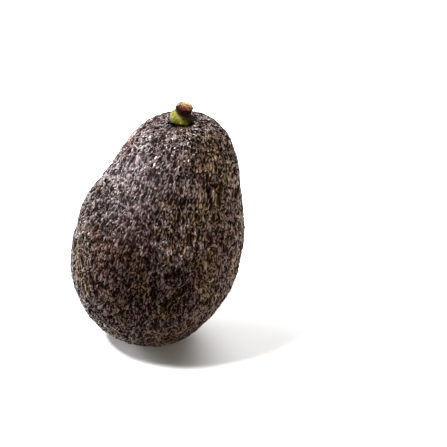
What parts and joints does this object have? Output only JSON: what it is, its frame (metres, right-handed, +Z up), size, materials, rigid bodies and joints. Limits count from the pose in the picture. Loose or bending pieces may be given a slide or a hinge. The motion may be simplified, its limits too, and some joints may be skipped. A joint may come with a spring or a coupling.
{
  "type": "avocado",
  "caption": "Whole avocado with dark pebbled skin and a short cut stem, pear-shaped, standing on its blunt end.",
  "frame": {"origin": "middle of the small flat spot at the blunt end, which the fruit stands on", "axes": "+Z up from the flat spot to the stem end, +X the way the fruit leans, -X its fuller side, +Y away from the side the picture shows"},
  "size_m": [0.0689, 0.0647, 0.1014],
  "materials": {
    "skin": "dark purple-brown pebbled rind, half glossy",
    "stem": "matte yellow-green stalk with a brown corky cut"
  },
  "bodies": {
    "root": {"fruit": "skin", "stem": "stem"}
  },
  "joints": []
}
